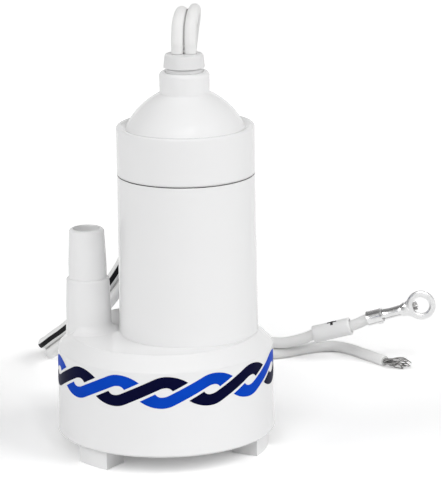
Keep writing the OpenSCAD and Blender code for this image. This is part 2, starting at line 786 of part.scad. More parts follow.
// Shaft seal, its garter spring and the washer that keeps it in
module shaft_seal() {
    groove_w = 1.9;
    web_t = 1.2;
    relief = 0.6;
    color("black") on_axis() rotate_extrude() difference() {
        translate([bush_bore_r, seal_z]) square([seal_r - bush_bore_r, seal_h]);
        translate([bush_bore_r + seal_lip_t, seal_z - cut]) square([groove_w, seal_h - web_t + cut]);
        translate([bush_bore_r - cut, seal_top_z - web_t]) square([relief + cut, web_t + cut]);
    }
}

module seal_spring() {
    wire_r = 0.4;
    color("silver") on_axis() translate([0, 0, seal_z + 2 * wire_r]) rotate_extrude()
        translate([bush_bore_r + seal_lip_t + wire_r + seat_gap, 0]) circle(r = wire_r, $fn = 24);
}

module seal_retainer() {
    color("silver") axis_ring(bush_bore_r + seal_lip_t, seal_r, seal_boss_z, seal_boss_z + retainer_t);
}

// Rotor
module motor_shaft() {
    edge = 0.3;
    color("lightgray") on_axis() rotate_extrude() polygon([[0, shaft_z], [shaft_r - edge, shaft_z],
        [shaft_r, shaft_z + edge], [shaft_r, rear_bush_top_z - edge],
        [shaft_r - edge, rear_bush_top_z], [0, rear_bush_top_z]]);
}

module core_slots(r, mouth) {
    for (i = [0 : pole_count - 1]) rotate((i + 0.5) * 360 / pole_count) {
        translate([core_slot_place, 0]) circle(r = r);
        translate([core_slot_place, -mouth / 2]) square([armature_r, mouth]);
    }
}

module armature_core() {
    mouth = 1.6;
    color("slategray") on_axis() translate([0, 0, core_z]) linear_extrude(core_h) difference() {
        circle(r = armature_r);
        circle(r = shaft_r + press_gap);
        core_slots(core_slot_r, mouth);
    }
}

module armature_windings() {
    head_in = core_slot_place - winding_r;
    head_out = core_slot_place + winding_r;
    color("darkgoldenrod") {
        axis_ring(head_in, head_out, core_z - head_gap - head_h, core_z - head_gap);
        axis_ring(head_in, head_out, core_top_z + head_gap, head_top_z);
        on_axis() translate([0, 0, core_z - head_gap - head_h / 2])
            linear_extrude(core_h + 2 * head_gap + head_h)
                for (i = [0 : pole_count - 1]) rotate((i + 0.5) * 360 / pole_count)
                    translate([core_slot_place, 0]) circle(r = winding_r - gland_gap);
    }
}

module commutator_hub() {
    color("saddlebrown") {
        axis_ring(shaft_r + press_gap, commutator_hub_r - seat_gap, segment_z - commutator_rim,
            segment_top_z + commutator_rim);
        axis_ring(shaft_r + press_gap, commutator_r - free_gap, segment_z - commutator_rim,
            segment_z - seat_gap);
    }
}

module commutator_segments() {
    step = 360 / pole_count;
    slit = segment_gap * 180 / (PI * commutator_r);
    color("orange") for (i = [0 : pole_count - 1])
        axis_arc(commutator_hub_r, commutator_r, segment_z, segment_top_z,
            i * step + slit / 2, step - slit);
}

module thrust_washers() {
    color("white") {
        axis_ring(shaft_r + press_gap, washer_d / 2, front_bush_top_z + washer_gap,
            front_bush_top_z + washer_gap + washer_t);
        axis_ring(shaft_r + press_gap, washer_d / 2, rear_washer_z, rear_washer_z + washer_t);
    }
}

module impeller_insert() {
    color("gold") axis_ring(shaft_r + press_gap, insert_d / 2, shaft_z, disc_top_z);
}

// A blade is a slice of a round ring that runs from the hub's wall to the rim, curved back
module blade() {
    linear_extrude(blade_h + disc_t / 2) difference() {
        intersection() {
            translate([blade_bend, 0]) difference() {
                circle(r = blade_bend + blade_t / 2);
                circle(r = blade_bend - blade_t / 2);
            }
            square(2 * impeller_r);
            circle(r = impeller_r - free_gap);
        }
        circle(r = (hub_hole_r + hub_r) / 2);
    }
}

module impeller() {
    color("ivory") on_axis() difference() {
        union() {
            translate([0, 0, disc_z]) cylinder(r = impeller_r, h = disc_t);
            translate([0, 0, hub_z]) cylinder(r = hub_r, h = disc_top_z - hub_z);
            for (i = [0 : blade_count - 1]) rotate(i * 360 / blade_count)
                translate([0, 0, blade_z]) blade();
        }
        translate([0, 0, shaft_z]) cylinder(r = hub_hole_r, h = disc_top_z - shaft_z + cut);
    }
}

// Flex
module twin_lead() {
    lobe = [for (a = [-150 : 50 : 150]) core_r * [cos(a), sin(a)]];
    outline = concat([for (q = lobe) q + [half_pitch, 0]], [for (q = lobe) -q - [half_pitch, 0]]);
    color("white") skin(smooth([for (row = lead_route) row[0]], ring_steps),
        smooth([for (row = lead_route) row[1]], ring_steps), outline);
}

module positive_leg() {
    stop = ring_centre + ring_way * wire_stop;
    color("white")
        round_tube(concat(positive_route, [stop + ring_way * 5, stop + ring_way * 2.5, stop]), core_r);
}

module negative_leg() {
    color("white") round_tube(negative_route, core_r);
}

module polarity_sleeve() {
    run = sleeve_to - sleeve_from;
    lean = acos(run[2] / norm(run));
    color("gainsboro") translate(sleeve_from) rotate([0, lean, atan2(run[1], run[0])]) difference() {
        cylinder(d = sleeve_d, h = norm(run));
        translate([0, 0, -cut]) cylinder(d = sleeve_d - 2 * sleeve_wall, h = norm(run) + 2 * cut);
    }
}

// Ring terminal, drawn with the ring at its origin and the wire along +X
module ring_terminal() {
    wire_hole_r = core_r + seat_gap;
    crimp_wall = 0.5;
    neck_w = 3.4;
    lap = 0.6;
    color("silver") translate(ring_centre) rotate([0, ring_tilt, ring_turn]) difference() {
        union() {
            rotate([90, 0, 0]) cylinder(d = ring_d, h = ring_t, center = true);
            translate([0, -ring_t / 2, -neck_w / 2]) cube([ring_neck + lap, ring_t, neck_w]);
            translate([ring_neck, 0, 0]) rotate([0, 90, 0])
                cylinder(r = core_r - gland_gap, h = strand_crimp_h);
            translate([wire_stop - lap, 0, 0]) rotate([0, 90, 0])
                cylinder(r = wire_hole_r + crimp_wall, h = wire_crimp_h + lap);
        }
        rotate([90, 0, 0]) cylinder(d = ring_hole_d, h = ring_t + 2 * cut, center = true);
        translate([wire_stop, 0, 0]) rotate([0, 90, 0]) cylinder(r = wire_hole_r, h = wire_crimp_h + cut);
    }
}

// Stripped strands: one in the middle and a ring that spreads a little
module bare_strands() {
    end = negative_route[len(negative_route) - 1];
    run = end - negative_route[len(negative_route) - 2];
    spread = 1.5;
    stagger = 0.6;
    lay = strand_d + seat_gap;
    color("lightgray") translate(end) rotate([0, 90, atan2(run[1], run[0])]) {
        cylinder(d = strand_d, h = bare_h, $fn = 16);
        for (i = [0 : 5]) rotate(i * 60) translate([lay, 0, seat_gap]) rotate([0, spread, 0])
            cylinder(d = strand_d, h = bare_h - stagger * (i % 3), $fn = 16);
    }
}

echo(positive_to_negative_leg_gap = least_gap(
    smooth([for (i = [2 : len(positive_route) - 1]) positive_route[i]], 4),
    smooth([for (i = [2 : len(negative_route) - 1]) negative_route[i]], 4)) - core_d);

pump_body();
intake_plate();
top_cap();
cap_seal();
cable_gland();
gland_seal();
motor_cushion();
motor_can();
magnets();
magnet_clips();
front_bush();
end_bell();
rear_bush();
brush_arms();
carbon_brushes();
motor_terminals();
inner_leads();
shaft_seal();
seal_spring();
seal_retainer();
motor_shaft();
armature_core();
armature_windings();
commutator_hub();
commutator_segments();
thrust_washers();
impeller_insert();
impeller();
twin_lead();
positive_leg();
negative_leg();
polarity_sleeve();
ring_terminal();
bare_strands();
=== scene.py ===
"""Looks for the submersible caravan water pump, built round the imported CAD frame.

Lengths in this file are millimetres unless a name says otherwise. They become metres where a
mesh, the camera or a cord is made.
"""

import math
import random

import bpy
from mathutils import Matrix, Vector


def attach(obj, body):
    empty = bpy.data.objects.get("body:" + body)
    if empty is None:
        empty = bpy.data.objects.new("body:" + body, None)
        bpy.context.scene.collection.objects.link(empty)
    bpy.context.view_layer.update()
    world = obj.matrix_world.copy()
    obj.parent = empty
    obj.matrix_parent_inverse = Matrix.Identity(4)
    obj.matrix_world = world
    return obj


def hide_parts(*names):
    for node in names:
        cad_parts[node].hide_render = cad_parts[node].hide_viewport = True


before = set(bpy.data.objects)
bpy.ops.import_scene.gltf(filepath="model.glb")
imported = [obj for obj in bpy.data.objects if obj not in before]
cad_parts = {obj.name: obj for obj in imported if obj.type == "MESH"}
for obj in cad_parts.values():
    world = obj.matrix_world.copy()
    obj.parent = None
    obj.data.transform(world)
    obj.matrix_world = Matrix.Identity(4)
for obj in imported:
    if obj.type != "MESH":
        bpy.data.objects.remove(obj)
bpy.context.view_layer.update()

MM = 0.001
UP = Vector((0, 0, 1))
AXIS_X = 6.8
GLAND_TOP = 113.6


# Meshes

def make_piece(name, points, faces, materials, picks=None):
    """A mesh piece from points in millimetres, riding on the pump. picks gives each face's material."""
    mesh = bpy.data.meshes.new(name)
    mesh.from_pydata([Vector(p) * MM for p in points], [], faces)
    for material in materials:
        mesh.materials.append(material)
    for i, face in enumerate(mesh.polygons):
        face.use_smooth = True
        face.material_index = picks[i] if picks else 0
    mesh.update()
    piece = bpy.data.objects.new(name, mesh)
    bpy.context.scene.collection.objects.link(piece)
    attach(piece, "pump")
    return piece


def eased(value, low, high):
    """0 up to low, 1 from high on, and a smooth rise between."""
    t = min(1, max(0, (value - low) / (high - low)))
    return t * t * (3 - 2 * t)


def on_circle(radius, degrees):
    turn = math.radians(degrees)
    return radius * math.cos(turn), radius * math.sin(turn)


def spline(points, steps):
    """A smooth curve through points, the same one as the CAD routes, with that many steps a span."""
    rows = [Vector(p) for p in points]
    last = len(rows) - 1
    out = []
    for i in range(last):
        a, b = rows[max(i - 1, 0)], rows[i]
        c, d = rows[i + 1], rows[min(i + 2, last)]
        for j in range(steps):
            t = j / steps
            out.append(0.5 * (2 * b + (c - a) * t + (2 * a - 5 * b + 4 * c - d) * t * t
                              + (3 * b - a - 3 * c + d) * t * t * t))
    return out + [rows[last]]


def frames(path, sides):
    """The direction of a path at each point, and two across it, the first of them nearest to its side."""
    out = []
    for i, side in enumerate(sides):
        way = (path[min(i + 1, len(path) - 1)] - path[max(i - 1, 0)]).normalized()
        across = (side - way * side.dot(way)).normalized()
        out.append((way, across, way.cross(across)))
    return out


def loft(rings, start=0):
    """Points and faces of a skin through rings of equal count, with closed ends. start is the number of
    its first point."""
    count = len(rings[0])
    points = [p for ring in rings for p in ring]
    faces = []
    for i in range(len(rings) - 1):
        a, b = start + i * count, start + (i + 1) * count
        for j in range(count):
            k = (j + 1) % count
            faces.append((a + j, a + k, b + k, b + j))
    end = start + (len(rings) - 1) * count
    faces.append(tuple(start + j for j in reversed(range(count))))
    faces.append(tuple(end + j for j in range(count)))
    return points, faces


def gather(parts, start=0):
    """Several lofts as one list of points and faces."""
    points, faces = [], []
    for rings in parts:
        more, sides = loft(rings, start + len(points))
        points += more
        faces += sides
    return points, faces


def turned_faces(turns, count, start=0):
    """Faces of a profile of count points that is repeated turns times round an axis."""
    faces = []
    for k in range(turns):
        a, b = start + k * count, start + (k + 1) % turns * count
        for j in range(count):
            n = (j + 1) % count
            faces.append((a + j, b + j, b + n, a + n))
    return faces


# A direction that none of the tubes runs along
TUBE_SIDE = Vector((0.1, -0.2, 1))


def tube(path, radius, sides):
    """Rings of a round tube along a path. radius is a number or one for each point."""
    radii = radius if isinstance(radius, list) else [radius] * len(path)
    turns = [2 * math.pi * k / sides for k in range(sides)]
    rings = []
    for (_, a, b), p, r in zip(frames(path, [TUBE_SIDE] * len(path)), path, radii):
        rings.append([p + a * r * math.cos(t) + b * r * math.sin(t) for t in turns])
    return rings


# Materials

# Grey of the painted shade in a joint, and the height and reach of the joint under the cap
JOINT_SHADE_GREY = 0.16
CAP_JOINT = (79.725, 0.13)
COAT_ROUGH = 0.12

# The turn of a wave texture's bands over one unit of its coordinates
WAVE_RADIANS = 20


def nodes_of(name):
    material = bpy.data.materials.new(name)
    material.use_nodes = True
    tree = material.node_tree
    return material, tree, tree.nodes["Principled BSDF"]


def add(tree, kind, settings=(), **values):
    made = tree.nodes.new(kind)
    for key, value in dict(settings).items():
        setattr(made, key, value)
    for key, value in values.items():
        made.inputs[key.replace("_", " ")].default_value = value
    return made


def grain(tree, scale, detail=3.0, stretch=(1, 1, 1)):
    """A noise in the object's own coordinates. scale counts features to a metre."""
    place = add(tree, "ShaderNodeTexCoord")
    fit = add(tree, "ShaderNodeMapping", Scale=stretch)
    noise = add(tree, "ShaderNodeTexNoise", Scale=scale, Detail=detail)
    tree.links.new(place.outputs["Object"], fit.inputs["Vector"])
    tree.links.new(fit.outputs["Vector"], noise.inputs["Vector"])
    return noise.outputs["Fac"]


def spread(tree, source, low, high):
    """A noise, stretched to run from low to high."""
    change = add(tree, "ShaderNodeMapRange", To_Min=low, To_Max=high, From_Min=0.3, From_Max=0.7)
    tree.links.new(source, change.inputs["Value"])
    return change.outputs["Result"]


def paint_joint_shade(tree, unshaded, height, reach):
    """The colour, darkened within reach of a height, as painted shade in a joint."""
    place = add(tree, "ShaderNodeTexCoord")
    split = add(tree, "ShaderNodeSeparateXYZ")
    near = add(tree, "ShaderNodeMath", {"operation": "COMPARE"})
    near.inputs[1].default_value = height * MM
    near.inputs[2].default_value = reach * MM
    mix = add(tree, "ShaderNodeMix", {"data_type": "RGBA"})
    mix.inputs["B"].default_value = (JOINT_SHADE_GREY, JOINT_SHADE_GREY, JOINT_SHADE_GREY, 1)
    tree.links.new(place.outputs["Object"], split.inputs["Vector"])
    tree.links.new(split.outputs["Z"], near.inputs[0])
    tree.links.new(near.outputs[0], mix.inputs["Factor"])
    tree.links.new(unshaded, mix.inputs["A"])
    return mix.outputs["Result"]


def finish_of(name, colour, rough, metal=0.0, tint=0.03, patch=60.0, fine=1500.0, bump=0.05,
              depth=0.05, stretch=(1, 1, 1), rough_by=0.05, edge=0.0, lines=None, coat=0.0, clear=0.5,
              shade_band=None):
    """A procedural finish. tint is how far the colour drifts, patch and fine the features to a metre of
    the drift and the texture, depth the texture's height in millimetres, edge a rounding of sharp edges,
    lines half the pitch of fine rings, shade_band a height and reach darkened as painted shade."""
    material, tree, shader = nodes_of(name)
    material.diffuse_color = (*colour, 1)
    shader.inputs["Metallic"].default_value = metal
    shader.inputs["Specular IOR Level"].default_value = clear
    shader.inputs["Coat Weight"].default_value = coat
    shader.inputs["Coat Roughness"].default_value = COAT_ROUGH
    mix = add(tree, "ShaderNodeMix", {"data_type": "RGBA"})
    mix.inputs["A"].default_value = (*[c * (1 - tint) for c in colour], 1)
    mix.inputs["B"].default_value = (*[min(1, c * (1 + tint)) for c in colour], 1)
    tree.links.new(spread(tree, grain(tree, patch, 4.0, stretch), 0, 1), mix.inputs["Factor"])
    skin = mix.outputs["Result"]
    if shade_band:
        skin = paint_joint_shade(tree, skin, *shade_band)
    tree.links.new(skin, shader.inputs["Base Color"])
    wear = spread(tree, grain(tree, patch * 5, 3.0, stretch), rough - rough_by, rough + rough_by)
    tree.links.new(wear, shader.inputs["Roughness"])
    relief = add(tree, "ShaderNodeBump", Strength=bump, Distance=depth * MM)
    height = grain(tree, fine, 2.0, stretch)
    if lines:
        place = add(tree, "ShaderNodeTexCoord")
        wave = add(tree, "ShaderNodeTexWave", {"wave_type": "BANDS", "bands_direction": "Z"},
                   Scale=1 / (lines * MM) / WAVE_RADIANS * math.pi, Distortion=0.4, Detail=1.0)
        blend = add(tree, "ShaderNodeMath", {"operation": "ADD"})
        tree.links.new(place.outputs["Object"], wave.inputs["Vector"])
        tree.links.new(wave.outputs["Fac"], blend.inputs[0])
        tree.links.new(height, blend.inputs[1])
        height = blend.outputs[0]
    tree.links.new(height, relief.inputs["Height"])
    if edge:
        round_off = add(tree, "ShaderNodeBevel", {"samples": 6}, Radius=edge * MM)
        tree.links.new(round_off.outputs["Normal"], relief.inputs["Normal"])
    tree.links.new(relief.outputs["Normal"], shader.inputs["Normal"])
    return material


# The body and cap are darkened in the joint under the cap, as painted shade.
body_white = finish_of("body_white", (0.85, 0.85, 0.852), 0.20, tint=0.004, fine=900, bump=0.01,
                       depth=0.02, rough_by=0.01, edge=0.7, clear=0.28, shade_band=CAP_JOINT)
cap_white = finish_of("cap_white", (0.85, 0.85, 0.852), 0.20, tint=0.004, fine=900, bump=0.01,
                      depth=0.02, rough_by=0.01, edge=1.0, clear=0.28, shade_band=CAP_JOINT)
plate_white = finish_of("plate_white", (0.84, 0.84, 0.842), 0.42, tint=0.012, fine=1200, bump=0.08,
                        depth=0.02, clear=0.35)
gland_white = finish_of("gland_white", (0.77, 0.77, 0.772), 0.42, tint=0.015, fine=1400, bump=0.08,
                        depth=0.02, clear=0.35)
flex_white = finish_of("flex_white", (0.83, 0.83, 0.825), 0.40, tint=0.015, patch=110, fine=700, bump=0.08,
                       depth=0.03, clear=0.35)
tracer_black = finish_of("tracer_black", (0.008, 0.008, 0.010), 0.55, tint=0.2, patch=400, fine=900,
                         bump=0.1, depth=0.03, clear=0.06)
# The web between the cores is a darker grey, as painted shade in the groove.
groove_painted_shade = finish_of("groove_painted_shade", (0.50, 0.50, 0.495), 0.55, tint=0.10, patch=300, fine=900,
                        bump=0.1, depth=0.03, clear=0.2)
core_cut = finish_of("core_cut", (0.62, 0.62, 0.61), 0.55, tint=0.05, patch=700, fine=3000, bump=0.3)
sleeve_white = finish_of("sleeve_white", (0.83, 0.83, 0.83), 0.38, tint=0.012, patch=150, fine=900,
                         bump=0.08, depth=0.03, clear=0.35)
mark_black = finish_of("mark_black", (0.010, 0.010, 0.012), 0.45, tint=0.3, patch=900, fine=2500, bump=0.1)
print_navy = finish_of("print_navy", (0.0024, 0.0030, 0.026), 0.42, tint=0.15, patch=120, fine=900,
                       bump=0.04, depth=0.02, rough_by=0.03, clear=0.02)
print_blue = finish_of("print_blue", (0.0030, 0.058, 0.50), 0.42, tint=0.06, patch=120, fine=900,
                       bump=0.04, depth=0.02, rough_by=0.03, clear=0.02)
tinned = finish_of("tinned", (0.75, 0.75, 0.75), 0.22, metal=1.0, tint=0.04, patch=500, fine=2600,
                   bump=0.12, depth=0.03, rough_by=0.08)
# Painted shade: the strands' tin is a darker grey than the terminal's, for the dark gaps between strands and
# their darker reflections.
strand_tin_shaded = finish_of("strand_tin_shaded", (0.36, 0.355, 0.35), 0.20, metal=1.0, tint=0.12, patch=900, fine=3000,
                       bump=0.15, depth=0.02, rough_by=0.08)
rubber = finish_of("rubber", (0.022, 0.022, 0.023), 0.65, tint=0.15, patch=200, fine=2500, bump=0.25)
zinc = finish_of("zinc", (0.60, 0.60, 0.58), 0.34, metal=1.0, tint=0.06, patch=160, fine=900, bump=0.12,
                 depth=0.03, stretch=(1, 1, 6), edge=0.15)
ground = finish_of("ground", (0.66, 0.66, 0.66), 0.20, metal=1.0, tint=0.03, patch=300, fine=900, bump=0.08,
                   depth=0.02, stretch=(1, 1, 8))
sheets = finish_of("sheets", (0.30, 0.31, 0.33), 0.45, metal=1.0, tint=0.12, patch=400, bump=0.5, depth=0.05,
                   lines=0.5)
ferrite = finish_of("ferrite", (0.055, 0.055, 0.060), 0.60, tint=0.2, patch=300, fine=3500, bump=0.3,
                    edge=0.2)
bronze = finish_of("bronze", (0.52, 0.36, 0.20), 0.45, metal=1.0, tint=0.12, patch=900, fine=4000, bump=0.35)
brass = finish_of("brass", (0.74, 0.58, 0.28), 0.28, metal=1.0, tint=0.06, patch=250, fine=900, bump=0.1,
                  depth=0.03, stretch=(1, 1, 5))
copper = finish_of("copper", (0.68, 0.34, 0.20), 0.26, metal=1.0, tint=0.08, patch=300, fine=900, bump=0.12,
                   depth=0.03, stretch=(1, 1, 6))
enamel = finish_of("enamel", (0.46, 0.18, 0.08), 0.30, metal=0.7, tint=0.15, patch=350, bump=0.7, depth=0.12,
                   lines=0.35, coat=0.4)
carbon = finish_of("carbon", (0.050, 0.050, 0.052), 0.50, metal=0.2, tint=0.2, patch=700, fine=3500,
                   bump=0.25)
bell_black = finish_of("bell_black", (0.018, 0.018, 0.019), 0.45, tint=0.15, patch=150, fine=1500, bump=0.15,
                       edge=0.2)
brown = finish_of("brown", (0.18, 0.085, 0.04), 0.45, tint=0.15, patch=500, fine=2500, bump=0.2)
nylon = finish_of("nylon", (0.74, 0.74, 0.70), 0.45, tint=0.03, patch=200, fine=1500, bump=0.1)
blades = finish_of("blades", (0.70, 0.70, 0.66), 0.42, tint=0.04, patch=120, fine=1200, bump=0.12, edge=0.25)

NODE_FINISH = {
    "pump_body": body_white, "top_cap": cap_white, "intake_plate": plate_white, "cable_gland": gland_white,
    "cap_seal": rubber, "gland_seal": rubber, "motor_cushion": rubber, "shaft_seal": rubber,
    "motor_can": zinc, "magnet_clips": zinc, "seal_spring": zinc, "seal_retainer": zinc,
    "magnets": ferrite, "front_bush": bronze, "rear_bush": bronze, "end_bell": bell_black,
    "brush_arms": brass, "motor_terminals": brass, "impeller_insert": brass, "carbon_brushes": carbon,
    "motor_shaft": ground, "armature_core": sheets, "armature_windings": enamel,
    "commutator_hub": brown, "commutator_segments": copper, "thrust_washers": nylon, "impeller": blades,
}
for node_name, finish in NODE_FINISH.items():
    for material_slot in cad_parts[node_name].material_slots:
        material_slot.material = finish


# Camera, at the photograph's angle

CAMERA_TARGET = Vector((16.318, 0, 59.91))
CAMERA_RISE, CAMERA_ROLL = math.radians(14.336), math.radians(-0.886)
CAMERA_FAR = 850
SENSOR_W, FOCAL_LENGTH = 36, 225.54
CLIP_FROM_M, CLIP_TO_M = 0.01, 30


def add_camera():
    forward = Vector((0, math.cos(CAMERA_RISE), -math.sin(CAMERA_RISE)))
    level, rise = Vector((1, 0, 0)), Vector((0, math.sin(CAMERA_RISE), math.cos(CAMERA_RISE)))
    right = level * math.cos(CAMERA_ROLL) + rise * math.sin(CAMERA_ROLL)
    top = rise * math.cos(CAMERA_ROLL) - level * math.sin(CAMERA_ROLL)
    data = bpy.data.cameras.new("camera")
    data.sensor_width = SENSOR_W
    data.lens = FOCAL_LENGTH
    data.clip_start, data.clip_end = CLIP_FROM_M, CLIP_TO_M
    camera = bpy.data.objects.new("camera", data)
    bpy.context.scene.collection.objects.link(camera)
    place = (CAMERA_TARGET - forward * CAMERA_FAR) * MM
    rows = [(right[i], top[i], -forward[i], place[i]) for i in range(3)]
    camera.matrix_world = Matrix(rows + [(0, 0, 0, 1)])
    bpy.context.scene.camera = camera


add_camera()


# Flex: two cores, joined by a thin web up to the split

CORE_R = 1.7
HALF_PITCH = 1.85

# Heights of the pair's middle and of a single leg's middle on the floor, and where the pair is pulled apart
LIE, LEG_LIE = 3.6, 1.75
SPLIT = Vector((29, 82.7, LIE))

# Route of the pair from the gland to the split: its middle, and the way across it to the positive core
LEAD = [
    ((AXIS_X, 0, GLAND_TOP), (-1, 0, 0)), ((AXIS_X, 0, GLAND_TOP + 1.75), (-1, 0, 0)),
    ((AXIS_X, 0, GLAND_TOP + 3.5), (-1, 0, 0)), ((7, 1.2, 121.1), (-1, 0, -0.06)),
    ((7.6, 3.8, 123.7), (-1, 0, -0.13)), ((8.1, 7.3, 124.4), (-1, 0, -0.17)),
    ((8.2, 10.8, 123.4), (-1, 0, -0.17)), ((8, 13.6, 120.9), (-1, 0, -0.13)),
    ((7.4, 16, 116.7), (-1, 0, -0.06)), ((6.4, 19, 108.7), (-1, 0, 0)), ((4.6, 22.5, 98.2), (-1, 0, 0.1)),
    ((1.8, 26.5, 84.6), (-1, 0, 0.2)), ((-2.2, 31, 68.6), (-1, 0, 0.3)),
    ((-6.8, 36.5, 53.2), (-0.9, 0, 0.45)), ((-12.6, 43, 40), (-0.8, 0.05, 0.6)),
    ((-19.1, 51.4, 29.2), (-0.7, 0.1, 0.7)), ((-25.2, 61, 20.6), (-0.6, 0.15, 0.77)),
    ((-31, 70.5, 13.3), (-0.58, 0.17, 0.79)), ((-35.2, 77.1, 8.7), (-0.58, 0.17, 0.79)),
    ((-37.9, 81.3, 5.6), (-0.58, 0.17, 0.79)), ((-39, 85, 4), (-0.55, 0.17, 0.8)),
    ((-38.5, 88.2, LIE), (-0.4, 0.1, 0.9)), ((-36.6, 91.2, LIE), (-0.2, 0, 1)),
    ((-33.5, 93.2, LIE), (0, 0, 1)), ((-28.5, 93.7, LIE), (0, 0, 1)), ((-18.5, 91.7, LIE), (0, 0, 1)),
    ((-6.1, 88.1, LIE), (0, 0, 1)), ((6, 84.9, LIE), (0, 0, 1)), ((16, 83, LIE), (0, 0, 1)),
    (SPLIT - Vector((6, 0, 0)), (0, 0, 1)), (SPLIT - Vector((3, 0, 0)), (0, 0, 1)), (SPLIT, (0, 0, 1)),
]

# The terminal's ring, the way from it back along the wire, where the wire's insulation stops, and the sleeve
RING_CENTRE = Vector((77.9, 73.6, 19.3))
RING_TURN, RING_TILT = math.radians(168.9), math.radians(16.7)
RING_WAY = Vector((math.cos(RING_TILT) * math.cos(RING_TURN), math.cos(RING_TILT) * math.sin(RING_TURN),
                   -math.sin(RING_TILT)))
WIRE_STOP_AT = 12.1
WIRE_STOP = RING_CENTRE + RING_WAY * WIRE_STOP_AT
SLEEVE_FROM, SLEEVE_TO = Vector((44.9, 80.05, 8.5)), Vector((56.4, 77.75, 11.8))

# Routes of the two legs past the split
POSITIVE = [
    SPLIT + Vector((0, 0, HALF_PITCH)), SPLIT + Vector((1.25, 0, HALF_PITCH)),
    SPLIT + Vector((2.5, 0, HALF_PITCH)), (35.9, 81.9, 5.5), (40.4, 80.9, 6.7), (42.6, 80.5, 7.5),
    SLEEVE_FROM, (50.65, 78.9, 10.15), SLEEVE_TO, (59.4, 77.15, 13.1),
    WIRE_STOP + RING_WAY * 5, WIRE_STOP + RING_WAY * 2.5, WIRE_STOP,
]
NEGATIVE = [
    SPLIT - Vector((0, 0, HALF_PITCH)), SPLIT + Vector((1.5, 0, -HALF_PITCH)),
    SPLIT + Vector((3, 0, -HALF_PITCH)), (36.1, 83.9, LEG_LIE), (41.1, 86.8, LEG_LIE),
    (46.1, 89.3, LEG_LIE), (51.2, 89.9, LEG_LIE), (55.8, 87.1, LEG_LIE), (60.7, 80.9, LEG_LIE),
    (63.7, 76.8, LEG_LIE), (66.7, 72.7, LEG_LIE),
]
ROUTE_STEPS = 8

# Section of a core in degrees from the way out of the pair, with the tracer's two edges among them
CORE_ANGLES = [-161, -151, -140, -129, -118, -105, -92, -80, -68, -54, -40, -28, -14, 0, 14, 28, 42, 56, 70,
               84, 98, 112, 125, 138, 150, 161]
TRACER_FROM, TRACER_TO = -118, -68

# Web between the cores: where it leaves a core, half its thickness, its gap to the other half, the
# stretch past the gland where it grows and the stretch about the split where it ends
WEB_ANGLE, WEB_HALF, WEB_GAP = 171, 0.5, 0.01
WEB_GROWS, WEB_ENDS = (0.6, 4.5), (-1.5, 2.5)

# How far the cut end of a core draws in, and over what length
END_DRAW, END_RUN = 0.12, 0.4

WHITE, TRACER, CUT, GROOVE = range(4)


def core_path(sign, leg):
    """Centre line of one core from the gland to its end, with the way out of the pair at each point, and
    how many of the points are paired."""
    middle = spline([row[0] for row in LEAD], ROUTE_STEPS)
    sides = spline([row[1] for row in LEAD], ROUTE_STEPS)
    path, outward = [], []
    for p, (_, across, _) in zip(middle, frames(middle, sides)):
        path.append(p + across * HALF_PITCH * sign)
        outward.append(across)
    tail = spline(leg, ROUTE_STEPS)[1:]
    return path + tail, outward + [UP] * len(tail), len(path)


def core_picks(joined, striped):
    """The finish of each face of a core, ring by ring. joined says where the web is there."""
    tracer = range(CORE_ANGLES.index(TRACER_FROM), CORE_ANGLES.index(TRACER_TO)) if striped else ()
    picks = []
    for web in joined[1:]:
        for k in range(len(CORE_ANGLES) + 2):
            if k in tracer:
                picks.append(TRACER)
            # The web's faces in the groove take the painted shade.
            elif web and k >= len(CORE_ANGLES) - 1:
                picks.append(GROOVE)
            else:
                picks.append(WHITE)
    return picks + [CUT, CUT]


def add_core(name, sign, leg, striped):
    """One core of the flex, on one side of the pair. It gives its centre line and length too."""
    path, outward, paired = core_path(sign, leg)
    run = [0.0]
    for a, b in zip(path, path[1:]):
        run.append(run[-1] + (b - a).length)
    parted = run[paired - 1]
    rings, joined = [], []
    for i, (_, a, b) in enumerate(frames(path, outward)):
        web = eased(run[i], *WEB_GROWS) * (1 - eased(run[i], parted + WEB_ENDS[0], parted + WEB_ENDS[1]))
        swell = 1 - END_DRAW * (1 - eased(run[-1] - run[i], 0, END_RUN))
        outline = [on_circle(CORE_R, t) for t in CORE_ANGLES]
        for edge in (1, -1):
            u, v = on_circle(CORE_R, WEB_ANGLE * edge)
            outline.append((u + (WEB_GAP - HALF_PITCH - u) * web, v + (WEB_HALF * edge - v) * web))
        rings.append([path[i] + (a * u * sign + b * v) * swell for u, v in outline])
        joined.append(web > 0.5)
    points, faces = loft(rings)
    if sign < 0:
        faces = [tuple(reversed(f)) for f in faces]
    finishes = [flex_white, tracer_black, core_cut, groove_painted_shade]
    piece = make_piece(name, points, faces, finishes, core_picks(joined, striped))
    return piece, path, run[-1]


positive, positive_path, positive_length = add_core("positive_core", 1, POSITIVE, True)
negative, negative_path, negative_length = add_core("negative_core", -1, NEGATIVE, False)


# Ring terminal: one stamped sheet, flat at the ring and rolled round the strands and the insulation

RING_R, RING_HOLE_R, RING_HALF, RING_CHAMFER, RING_TURNS = 4.6, 2.6, 0.4, 0.14, 72
SHEET_T, SHEET_STEPS = 0.44, 36
CRIMP_TURN = math.radians(-28)
BARREL_R, BARREL_T, BARREL_BEND = 1.5, 0.43, math.radians(352)
GRIP_R, GRIP_BEND = 2.08, math.radians(338)
BRIDGE_W = 2.6
LUG_R, LUG_T, LUG_TURN = 2.45, 0.4, math.radians(105)
EDGE_ANGLE = math.radians(50)
NO_BEND = 1e-3

# Places along the wire from the ring's centre. Neck: width, thickness, bend, lift and share of the turn.
NECK = [
    (3.0, 6.2, 0.78, 0, 0, 0), (3.6, 5.6, 0.78, 0, 0, 0), (4.3, 4.7, 0.76, 0.15, -0.05, 0.1),
    (5.0, 4.2, 0.66, 0.8, -0.35, 0.3), (5.6, 4.6, 0.58, 1.9, -0.90, 0.6), (6.2, 6.2, 0.50, 3.6, -1.35, 0.9),
    (6.8, BARREL_R * BARREL_BEND, SHEET_T, BARREL_BEND, -BARREL_R, 1),
]
